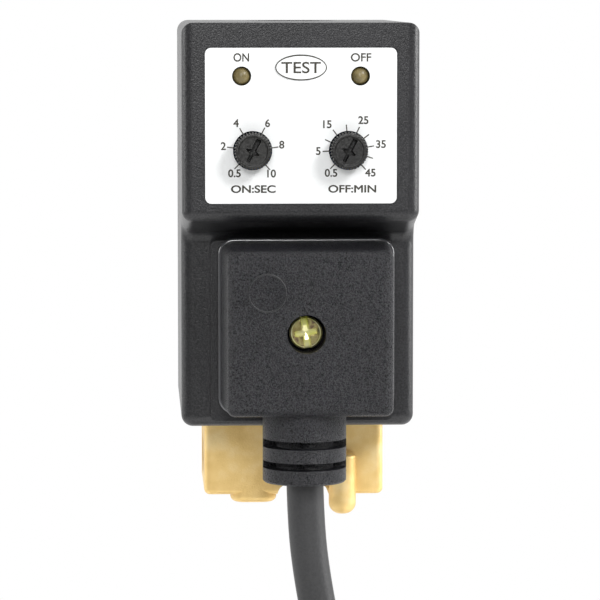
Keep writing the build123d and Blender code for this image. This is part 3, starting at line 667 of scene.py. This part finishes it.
testLow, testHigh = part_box("test_button")
testX, testZ = (testLow.x + testHigh.x) / 2, (testLow.z + testHigh.z) / 2
testFace = testLow.y - panel["proud"]
test = panel["test"]
testPrint = [
    moveBm(textBm("TEST", test["height"], test["width"], test["weight"]), testX, testFace, testZ),
    moveBm(ringBm(test["ringHalfX"], test["ringHalfZ"], test["ringLine"]), testX, testFace, testZ),
]
addMesh("testPrint", joinBms(testPrint), printBlack, "test_button", smooth=False)
print("panel print")


# screw of the cable plug: pan head with a slot and a cross

plugScrew = {
    "headRadius": 2.65 * mm,
    "rim": 0.55 * mm,          # width of the rounded edge
    "thickness": 2.1 * mm,
    "slotWidth": 1.05 * mm,
    "slotDepth": 0.95 * mm,
    "slotLean": 8.0,           # degrees off upright
    "crossReach": 1.75 * mm,
    "crossWidth": 0.95 * mm,
    "crossDepth": 1.25 * mm,
    "crossHub": 1.0 * mm,
    "crossTaper": 0.35,        # how much the arms narrow and rise towards their ends
    "softness": 0.07 * mm,     # half the width of the cut edges
    "shankRadius": 1.48 * mm,
    "threadPitch": 0.5 * mm,
    "threadRoot": 0.84,        # of the shank's radius
    "tip": 1.2 * mm,
    # the next entry places a painted highlight: a bright ring where the rounded edge of the head catches the
    # light
    "rimHighlight": (0.24 * mm, 0.42 * mm),   # in from the edge of the head
}


def step(value, edge, soft):
    # smooth fall from one to nothing over a soft edge
    t = min(1.0, max(0.0, (edge + soft - value) / (2 * soft)))
    return t * t * (3 - 2 * t)


def headHeight(x, z, settings):
    # how far the face of the head stands in front of its underside
    radius = math.hypot(x, z)
    full, rim = settings["headRadius"], settings["rim"]
    rounding = max(0.0, radius - (full - rim)) / rim
    height = settings["thickness"] - rim * (1 - math.sqrt(max(0.0, 1 - rounding * rounding)))
    lean = math.radians(settings["slotLean"])
    across = x * math.cos(lean) + z * math.sin(lean)
    along = -x * math.sin(lean) + z * math.cos(lean)
    soft = settings["softness"]
    slot = step(abs(across), settings["slotWidth"] / 2, soft) * settings["slotDepth"]
    reach = step(max(abs(across), abs(along)), settings["crossReach"], soft)
    taper = settings["crossTaper"] * min(1.0, radius / settings["crossReach"])
    waist = settings["crossWidth"] / 2 * (1.15 - taper)
    arms = max(step(abs(across), waist, soft), step(abs(along), waist, soft))
    centre = step(abs(across) + abs(along), settings["crossHub"], soft)
    sink = settings["crossDepth"] * (1.0 - taper)
    cross = reach * max(arms, centre) * sink
    return height - max(slot, cross)


def screwBm(settings, rings=44, spokes=112):
    bm = bmesh.new()
    full = settings["headRadius"]
    middle = bm.verts.new((0, -headHeight(0, 0, settings), 0))
    previous = None
    for r in range(1, rings + 1):
        radius = full * math.sin(math.pi / 2 * r / rings)
        ring = []
        for i in range(spokes):
            angle = 2 * math.pi * i / spokes
            x, z = radius * math.cos(angle), radius * math.sin(angle)
            ring.append(bm.verts.new((x, -headHeight(x, z, settings), z)))
        for i in range(spokes):
            j = (i + 1) % spokes
            if previous is None:
                bm.faces.new((middle, ring[i], ring[j]))
            else:
                bm.faces.new((previous[i], ring[i], ring[j], previous[j]))
        previous = ring
    rim = [bm.verts.new((v.co.x, 0, v.co.z)) for v in previous]
    for i in range(spokes):
        j = (i + 1) % spokes
        bm.faces.new((previous[i], rim[i], rim[j], previous[j]))
    bm.faces.new(rim)
    return bm


def tubeBm(profile, spokes=48):
    # solid of revolution about Y from (radius, y) steps, closed at both ends
    bm = bmesh.new()
    rings = []
    angles = [2 * math.pi * i / spokes for i in range(spokes)]
    for r, y in profile:
        rings.append([bm.verts.new((r * math.cos(angle), y, r * math.sin(angle))) for angle in angles])
    for first, second in zip(rings, rings[1:]):
        for i in range(spokes):
            j = (i + 1) % spokes
            bm.faces.new((first[i], first[j], second[j], second[i]))
    bm.faces.new(rings[0])
    bm.faces.new(rings[-1])
    return bm


screwLow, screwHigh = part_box("plug_screw")
screwX, screwZ = (screwLow.x + screwHigh.x) / 2, (screwLow.z + screwHigh.z) / 2
headBack = screwLow.y + plugScrew["thickness"]
head = moveBm(screwBm(plugScrew), screwX, headBack, screwZ)
shank, threadPitch = plugScrew["shankRadius"], plugScrew["threadPitch"]
profile = [(shank, 0.0)]
along = 0.0
while headBack + along < screwHigh.y - plugScrew["tip"]:
    # turned ridges stand for the thread on the hidden shank
    profile += [(shank, along + threadPitch / 2), (shank * plugScrew["threadRoot"], along + threadPitch)]
    along += threadPitch
profile.append((shank * 0.8, screwHigh.y - headBack))
shankBm = moveBm(tubeBm(profile), screwX, headBack, screwZ)
screwPiece = addMesh("comboHeadScrew", joinBms([head, shankBm]), yellowZinc, "valve")
screwPiece.data.materials.append(brightZinc)
sunk = headBack - plugScrew["thickness"] + 0.30 * mm
edge = plugScrew["headRadius"]
highlightOut, highlightIn = plugScrew["rimHighlight"]
for face in screwPiece.data.polygons:
    # the slot and the cross take a brighter zinc, partly the plating's own colour and partly a painted
    # highlight on their walls; the line round the edge is a painted highlight of the rounded rim
    reach = math.hypot(face.center.x - screwX, face.center.z - screwZ)
    inCross = sunk < face.center.y < headBack - 0.4 * mm and reach < plugScrew["crossReach"] * 1.05
    inSlot = sunk < face.center.y < headBack - 0.9 * mm and reach < edge
    onRimHighlight = face.center.y < headBack - 1.2 * mm and edge - highlightIn < reach < edge - highlightOut
    if inCross or inSlot or onRimHighlight:
        face.material_index = 1
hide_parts("plug_screw")
print("plug screw")


# timer knobs

timerKnob = {
    "radius": 3.02 * mm,
    "teeth": 36,
    "toothDepth": 0.44 * mm,
    "skirt": 3.9 * mm,          # from the back of the skirt to the face
    "dishRadius": 2.30 * mm,
    "dishDepth": 0.22 * mm,
    "slotDepth": 1.9 * mm,
    "pointing": 63.0,           # degrees above the outlet side
    "barLength": 2.05 * mm,
    "barWidth": 0.74 * mm,
    "tailLength": 1.85 * mm,
    "tailWidth": 0.50 * mm,
    "armLength": 1.10 * mm,
    "shaftRadius": 1.5 * mm,
}


def knobFace(x, z, settings):
    # how far the face stands in front of the back of the skirt
    radius = math.hypot(x, z)
    lean = math.radians(settings["pointing"])
    along = x * math.cos(lean) + z * math.sin(lean)
    across = abs(-x * math.sin(lean) + z * math.cos(lean))
    soft = 0.06 * mm
    dish = step(radius, settings["dishRadius"], 0.08 * mm) * settings["dishDepth"]
    bar = step(-along, 0.0, soft) * step(along, settings["barLength"], soft) * step(
        across, settings["barWidth"] / 2, soft)
    tail = step(along, 0.0, soft) * step(-along, settings["tailLength"], soft) * step(
        across, settings["tailWidth"] / 2, soft)
    arm = step(across, settings["armLength"], soft) * step(
        abs(along + 0.15 * mm), 0.48 * mm * max(0.0, 1 - across / settings["armLength"]) + 0.05 * mm, soft)
    slot = max(bar, tail, arm) * settings["slotDepth"]
    return settings["skirt"] - max(dish, slot)


def knobBm(settings, rings=40, perTooth=8):
    bm = bmesh.new()
    spokes = settings["teeth"] * perTooth
    flat = settings["radius"] - settings["toothDepth"]
    middle = bm.verts.new((0, -knobFace(0, 0, settings), 0))
    previous = None
    for r in range(1, rings + 1):
        radius = flat * (r / rings) ** 0.85
        ring = []
        for i in range(spokes):
            angle = 2 * math.pi * i / spokes
            x, z = radius * math.cos(angle), radius * math.sin(angle)
            ring.append(bm.verts.new((x, -knobFace(x, z, settings), z)))
        for i in range(spokes):
            j = (i + 1) % spokes
            if previous is None:
                bm.faces.new((middle, ring[i], ring[j]))
            else:
                bm.faces.new((previous[i], ring[i], ring[j], previous[j]))
        previous = ring
    # toothed flank, bevelled at the face
    for drop, reach in ((0.03, 0.55), (0.12, 0.95), (0.25, 1.0), (3.9, 1.0)):
        ring = []
        for i in range(spokes):
            angle = 2 * math.pi * i / spokes
            tooth = abs(((i % perTooth) / perTooth) * 2 - 1) ** 0.7
            radius = flat + settings["toothDepth"] * (0.25 + 0.75 * tooth) * reach
            y = -settings["skirt"] + drop * mm
            ring.append(bm.verts.new((radius * math.cos(angle), y, radius * math.sin(angle))))
        for i in range(spokes):
            j = (i + 1) % spokes
            bm.faces.new((previous[i], ring[i], ring[j], previous[j]))
        previous = ring
    bm.faces.new(previous)
    return bm


for nodeName, pieceName in (("knob_on", "onTimeKnob"), ("knob_off", "offTimeKnob")):
    low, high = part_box(nodeName)
    centreX, centreZ = (low.x + high.x) / 2, (low.z + high.z) / 2
    skirtBack = low.y + timerKnob["skirt"]
    shaftRadius = timerKnob["shaftRadius"]
    shaft = tubeBm([(shaftRadius, -0.2 * mm), (shaftRadius, high.y - skirtBack)])
    parts = [moveBm(bm, centreX, skirtBack, centreZ) for bm in (knobBm(timerKnob), shaft)]
    knobPiece = addMesh(pieceName, joinBms(parts), knobBlack, nodeName, sharp=28)
    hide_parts(nodeName)
print("knobs")


# rounded bead along the open edge of the cable plug, in a lighter material that paints the highlight along the
# lip

plugBead = {
    "size": 28.3 * mm,
    "corner": 2.2 * mm,
    "radius": 0.40 * mm,
    "sunk": 0.18 * mm,         # into the plug's sides
    "offset": 1.25 * mm,       # from the tube axis
    "fromBack": 1.2 * mm,
    "height": 16.95 * mm,      # above the housing's underside
}

beadPath = []
corner = plugBead["corner"]
beadHalf = plugBead["size"] / 2 - plugBead["sunk"] - corner
beadX, beadY, beadZ = tubeX + plugBead["offset"], plugHigh.y - plugBead["fromBack"], baseZ + plugBead["height"]
for cornerX, cornerZ, first in corners:
    for i in range(13):
        angle = math.radians(first + 90 * i / 12)
        beadPath.append((
            beadX + cornerX * beadHalf + corner * math.cos(angle), beadY,
            beadZ + cornerZ * beadHalf + corner * math.sin(angle)))
addWire("plugBead", beadPath, plugBead["radius"], beadHighlight, closed=True)
print("plug bead")


# plain ring moulded on the plug's face, drawn in the lighter case plastic as a painted highlight

faceRing = {
    "radius": 2.98 * mm,
    "wire": 0.17 * mm,
    "fromScrewX": -6.3 * mm,
    "fromScrewZ": 6.6 * mm,
    "sunk": 0.12 * mm,         # centre of the wire, behind the plug's face
    "steps": 72,
}

ringX, ringZ = screwX + faceRing["fromScrewX"], screwZ + faceRing["fromScrewZ"]
ringAngles = [2 * math.pi * i / faceRing["steps"] for i in range(faceRing["steps"])]
ringPath = [
    (ringX + faceRing["radius"] * math.cos(angle), plugLow.y + faceRing["sunk"],
     ringZ + faceRing["radius"] * math.sin(angle)) for angle in ringAngles]
# the lighter case plastic on the ring is a painted highlight; the real ring is the plug's own plastic
addWire("faceRing", ringPath, faceRing["wire"], caseBlack, closed=True, roundness=2)
print("face ring")


# threads cut in the two ports, and on the stud of the coil

threads = {
    "portRadius": 4.3 * mm,
    "portPitch": 0.94 * mm,
    "portDepth": 0.42 * mm,
    "portLength": 5.6 * mm,
    "portInset": 0.5 * mm,     # from the mouth
    "studRadius": 2.72 * mm,
    "studPitch": 0.6 * mm,
    "studDepth": 0.256 * mm,
    "studInset": 0.3 * mm,     # above the nut
    "studBare": 0.4 * mm,      # left plain at the top
}


def threadBm(radius, pitch, depth, length, inward=True, steps=40):
    # vee ridge wound along X round the X axis
    bm = bmesh.new()
    turns = length / pitch
    count = int(turns * steps)
    previous = None
    for i in range(count + 1):
        turn = i / steps
        angle = 2 * math.pi * turn
        fade = min(1.0, turn * 2, (turns - turn) * 2 + 0.02)
        crest = radius - depth * fade if inward else radius + depth * fade
        root = radius + 0.03 * mm if inward else radius - 0.03 * mm
        x = turn * pitch
        ring = []
        for reach, shift in ((root, -0.42), (crest, -0.06), (crest, 0.06), (root, 0.42)):
            ring.append(bm.verts.new((x + shift * pitch, reach * math.cos(angle), reach * math.sin(angle))))
        if previous:
            for a in range(4):
                b = (a + 1) % 4
                bm.faces.new((previous[a], ring[a], ring[b], previous[b]))
        else:
            bm.faces.new(ring)
        previous = ring
    bm.faces.new(previous)
    bmesh.ops.recalc_face_normals(bm, faces=bm.faces)
    return bm


for name, start in (
        ("inletThread", bodyLow.x + threads["portInset"]),
        ("outletThread", bodyHigh.x - threads["portInset"] - threads["portLength"])):
    thread = threadBm(threads["portRadius"], threads["portPitch"], threads["portDepth"], threads["portLength"])
    addMesh(name, moveBm(thread, start, 0, 0), castBrass, "valve")

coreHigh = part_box("fixed_core")[1]
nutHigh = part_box("coil_nut")[1]
studLength = coreHigh.z - nutHigh.z - threads["studInset"] - threads["studBare"]
studThread = threadBm(
    threads["studRadius"], threads["studPitch"], threads["studDepth"], studLength, inward=False)
bmesh.ops.rotate(studThread, verts=studThread.verts, matrix=Matrix.Rotation(-math.pi / 2, 3, "Y"))
moveBm(studThread, tubeX, 0, nutHigh.z + threads["studInset"])
addMesh("studThread", studThread, stainless, "valve")
print("threads")


# strap round the hank

strap = {
    "thickness": 1.2 * mm,
    "corner": 4.2 * mm,
    "overlap": 30 * mm,        # length of the free end that lies on the front
    "ribCount": 9,
    "hem": 0.16 * mm,          # height of the hems
    "rib": 0.07 * mm,          # height of the ribs
    "inset": 0.28 * mm,        # from the CAD band's outside to the valleys of the weave
    "flapProud": 0.9 * mm,
    "flapNarrower": 0.3 * mm,  # at each edge
}


def strapPath(halfX, halfY, corner, steps=10):
    # rounded rectangle seen from above, anticlockwise from the middle of the front
    path = [(0.0, -halfY)]
    for cornerX, cornerY, first in corners:
        for i in range(steps + 1):
            angle = math.radians(first + 90 * i / steps)
            path.append((cornerX * (halfX - corner) + corner * math.cos(angle),
                         cornerY * (halfY - corner) + corner * math.sin(angle)))
    return path


def ribbonBm(path, closed, low, high, thickness, ribs):
    # woven band: raised hems along both edges and fine ribs between them
    bm = bmesh.new()
    count = len(path)
    levels = []
    for i in range(ribs * 2 + 1):
        share = i / (ribs * 2)
        hem = strap["hem"] if share < 0.09 or share > 0.91 else 0.0
        rib = strap["rib"] if i % 2 else 0.0
        levels.append((low + (high - low) * share, hem + rib))
    outer, inner = [], []
    for i, (x, y) in enumerate(path):
        before = path[i - 1] if closed or i else path[i]
        after = path[(i + 1) % count] if closed or i < count - 1 else path[i]
        direction = Vector((after[0] - before[0], after[1] - before[1])).normalized()
        outX, outY = direction.y, -direction.x
        front, back = strap["inset"], thickness - 0.05 * mm
        outer.append([
            bm.verts.new((x - outX * (front - lift), y - outY * (front - lift), z)) for z, lift in levels])
        inner.append([bm.verts.new((x - outX * back, y - outY * back, z)) for z, lift in levels])
    last = count if closed else count - 1
    for i in range(last):
        j = (i + 1) % count
        for k in range(len(levels) - 1):
            bm.faces.new((outer[i][k], outer[j][k], outer[j][k + 1], outer[i][k + 1]))
            bm.faces.new((inner[i][k + 1], inner[j][k + 1], inner[j][k], inner[i][k]))
        bm.faces.new((inner[i][0], inner[j][0], outer[j][0], outer[i][0]))
        bm.faces.new((outer[i][-1], outer[j][-1], inner[j][-1], inner[i][-1]))
    if not closed:
        for k in range(len(levels) - 1):
            bm.faces.new((inner[0][k], outer[0][k], outer[0][k + 1], inner[0][k + 1]))
            bm.faces.new((outer[-1][k], inner[-1][k], inner[-1][k + 1], outer[-1][k + 1]))
    return bm


tieLow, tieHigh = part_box("hank_tie")
tieMid = (tieLow + tieHigh) / 2
halfX, halfY = (tieHigh.x - tieLow.x) / 2, (tieHigh.y - tieLow.y) / 2
loop = strapPath(halfX, halfY, strap["corner"])
band = ribbonBm(loop, True, tieLow.z, tieHigh.z, strap["thickness"], strap["ribCount"])
moveBm(band, tieMid.x, tieMid.y, 0)
reach = strap["overlap"]
flap = [(-reach / 2 + reach * i / 24, -halfY - strap["flapProud"]) for i in range(25)]
flapBm = ribbonBm(
    flap, False, tieLow.z + strap["flapNarrower"], tieHigh.z - strap["flapNarrower"],
    strap["thickness"] - 0.1 * mm, strap["ribCount"])
moveBm(flapBm, tieMid.x, tieMid.y, 0)
strapPiece = addMesh("wovenStrap", joinBms([band, flapBm]), strapWeave, "valve")
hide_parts("hank_tie")
print("strap")


# moulded mains plug with its blades; the earth pin stays the CAD node

mainsPlug = {
    "reliefLength": 24 * mm,
    "reliefRings": 6,
    "bodyLength": 13 * mm,
    "rimX": 13.5 * mm,
    "rimY": 12.0 * mm,
    "gripLines": 4,
    "gripHeight": 0.25 * mm,
    "groove": 1.0 * mm,        # depth of the gaps between the relief's rings
}


def roundedSection(halfX, halfY, power, spokes):
    # squarish oval; a power of 2 is an ellipse and higher is squarer
    points = []
    for i in range(spokes):
        angle = 2 * math.pi * (i + 0.5) / spokes
        c, d = math.cos(angle), math.sin(angle)
        points.append((
            math.copysign(abs(c) ** (2 / power), c) * halfX, math.copysign(abs(d) ** (2 / power), d) * halfY))
    return points


def stackBm(sections, spokes=64):
    # sections from the top down: depth, half width, half depth, squareness
    bm = bmesh.new()
    rings = []
    for drop, sizeX, sizeY, power in sections:
        rings.append([bm.verts.new((x, y, -drop)) for x, y in roundedSection(sizeX, sizeY, power, spokes)])
    for upper, lower in zip(rings, rings[1:]):
        for i in range(spokes):
            j = (i + 1) % spokes
            bm.faces.new((upper[j], upper[i], lower[i], lower[j]))
    bm.faces.new(rings[0])
    bm.faces.new(list(reversed(rings[-1])))
    return bm


plugX, plugY, plugTop = (mainsLow.x + mainsHigh.x) / 2, (mainsLow.y + mainsHigh.y) / 2, mainsHigh.z
relief, bodyLength = mainsPlug["reliefLength"], mainsPlug["bodyLength"]
sections = [(0.0, 3.6 * mm, 3.6 * mm, 2.0), (0.4 * mm, 4.1 * mm, 4.1 * mm, 2.0)]
ringStep = (relief - 3 * mm) / mainsPlug["reliefRings"]
for i in range(mainsPlug["reliefRings"]):
    # each ring of the bend relief with the gap below it
    top = 0.8 * mm + i * ringStep
    radius = 4.25 * mm + 2.0 * mm * (i + 0.5) / mainsPlug["reliefRings"]
    floorRadius = radius - mainsPlug["groove"]
    for share, size in ((0.0, radius), (0.60, radius), (0.68, floorRadius), (0.92, floorRadius)):
        sections.append((top + ringStep * share, size, size, 2.0))
sections += [(relief - 1.6 * mm, 6.4 * mm, 6.4 * mm, 2.0), (relief - 0.4 * mm, 8.2 * mm, 7.4 * mm, 2.4)]
for i in range(13):
    share = i / 12
    ripple = mainsPlug["gripHeight"] * math.sin(share * mainsPlug["gripLines"] * 2 * math.pi) ** 2
    sections.append((relief + share * bodyLength, 9.2 * mm + share * 2.4 * mm + ripple,
                     8.1 * mm + share * 2.5 * mm + ripple, 3.6))
rimTop = relief + bodyLength
rimX, rimY = mainsPlug["rimX"], mainsPlug["rimY"]
for drop, inset in ((0.2, 0.9), (0.5, 0.3), (0.9, 0.0), (4.2, 0.0), (4.7, 0.3), (5.0, 0.9)):
    sections.append((rimTop + drop * mm, rimX - inset * mm, rimY - inset * mm, 4.0))
plugBm = moveBm(stackBm(sections), plugX, plugY, plugTop)
mainsPiece = addMesh("mainsPlugBody", plugBm, cordBlack, "valve")
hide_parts("mains_plug")


def bladeBm(width, length, thickness, holeRadius, holeFrom):
    # flat blade with a nosed tip and a round hole, upright in the YZ plane
    outline = bpy.data.curves.new("blade", "CURVE")
    outline.dimensions = "2D"
    outline.fill_mode = "BOTH"
    outline.extrude = thickness / 2
    nose = 1.4 * mm
    edge = [(-width / 2, 0), (width / 2, 0), (width / 2, -length + nose), (width / 2 - nose, -length),
            (-width / 2 + nose, -length), (-width / 2, -length + nose)]
    centre = holeFrom - length
    angles = [2 * math.pi * i / 28 for i in range(28)]
    hole = [(holeRadius * math.cos(angle), centre + holeRadius * math.sin(angle)) for angle in angles]
    for points in (edge, hole):
        line = outline.splines.new("POLY")
        line.points.add(len(points) - 1)
        for point, (x, y) in zip(line.points, points):
            point.co = (x, y, 0, 1)
        line.use_cyclic_u = True
    holder = bpy.data.objects.new("blade", outline)
    mesh = bpy.data.meshes.new_from_object(holder)
    bpy.data.objects.remove(holder)
    bm = bmesh.new()
    bm.from_mesh(mesh)
    bpy.data.meshes.remove(mesh)
    for v in bm.verts:
        v.co = Vector((v.co.z, v.co.x, v.co.y))
    return bm


bladesLow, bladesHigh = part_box("mains_blades")
mainsBlade = {
    "width": bladesHigh.y - bladesLow.y,
    "length": bladesHigh.z - bladesLow.z,
    "thickness": 1.5 * mm,
    "holeRadius": 1.6 * mm,
    "holeFrom": 4.6 * mm,      # above the tip
}
bladeY = (bladesLow.y + bladesHigh.y) / 2
inset = mainsBlade["thickness"] / 2
bladeParts = [
    moveBm(bladeBm(**mainsBlade), x, bladeY, bladesHigh.z) for x in (bladesLow.x + inset, bladesHigh.x - inset)]
bladePiece = addMesh("flatBlades", joinBms(bladeParts), tinned, "valve")
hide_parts("mains_blades")
print("mains plug")


# rounded shoulder on the front lug of the body

lug = {
    "radius": 2.3 * mm,
    "fromAxis": 8.2 * mm,
    "y": -11.8 * mm,
    "top": -0.1 * mm,
    "rise": 1.1 * mm,
}

shoulder = bmesh.new()
bmesh.ops.create_uvsphere(shoulder, u_segments=48, v_segments=24, radius=1.0)
bmesh.ops.scale(shoulder, verts=shoulder.verts, vec=(lug["radius"], lug["radius"], lug["rise"]))
moveBm(shoulder, tubeX + lug["fromAxis"], lug["y"], lug["top"])
addMesh("lugShoulder", shoulder, castBrass, "valve")
print("lug shoulder")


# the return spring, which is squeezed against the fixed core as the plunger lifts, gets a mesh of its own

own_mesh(nodes["plunger_spring"])
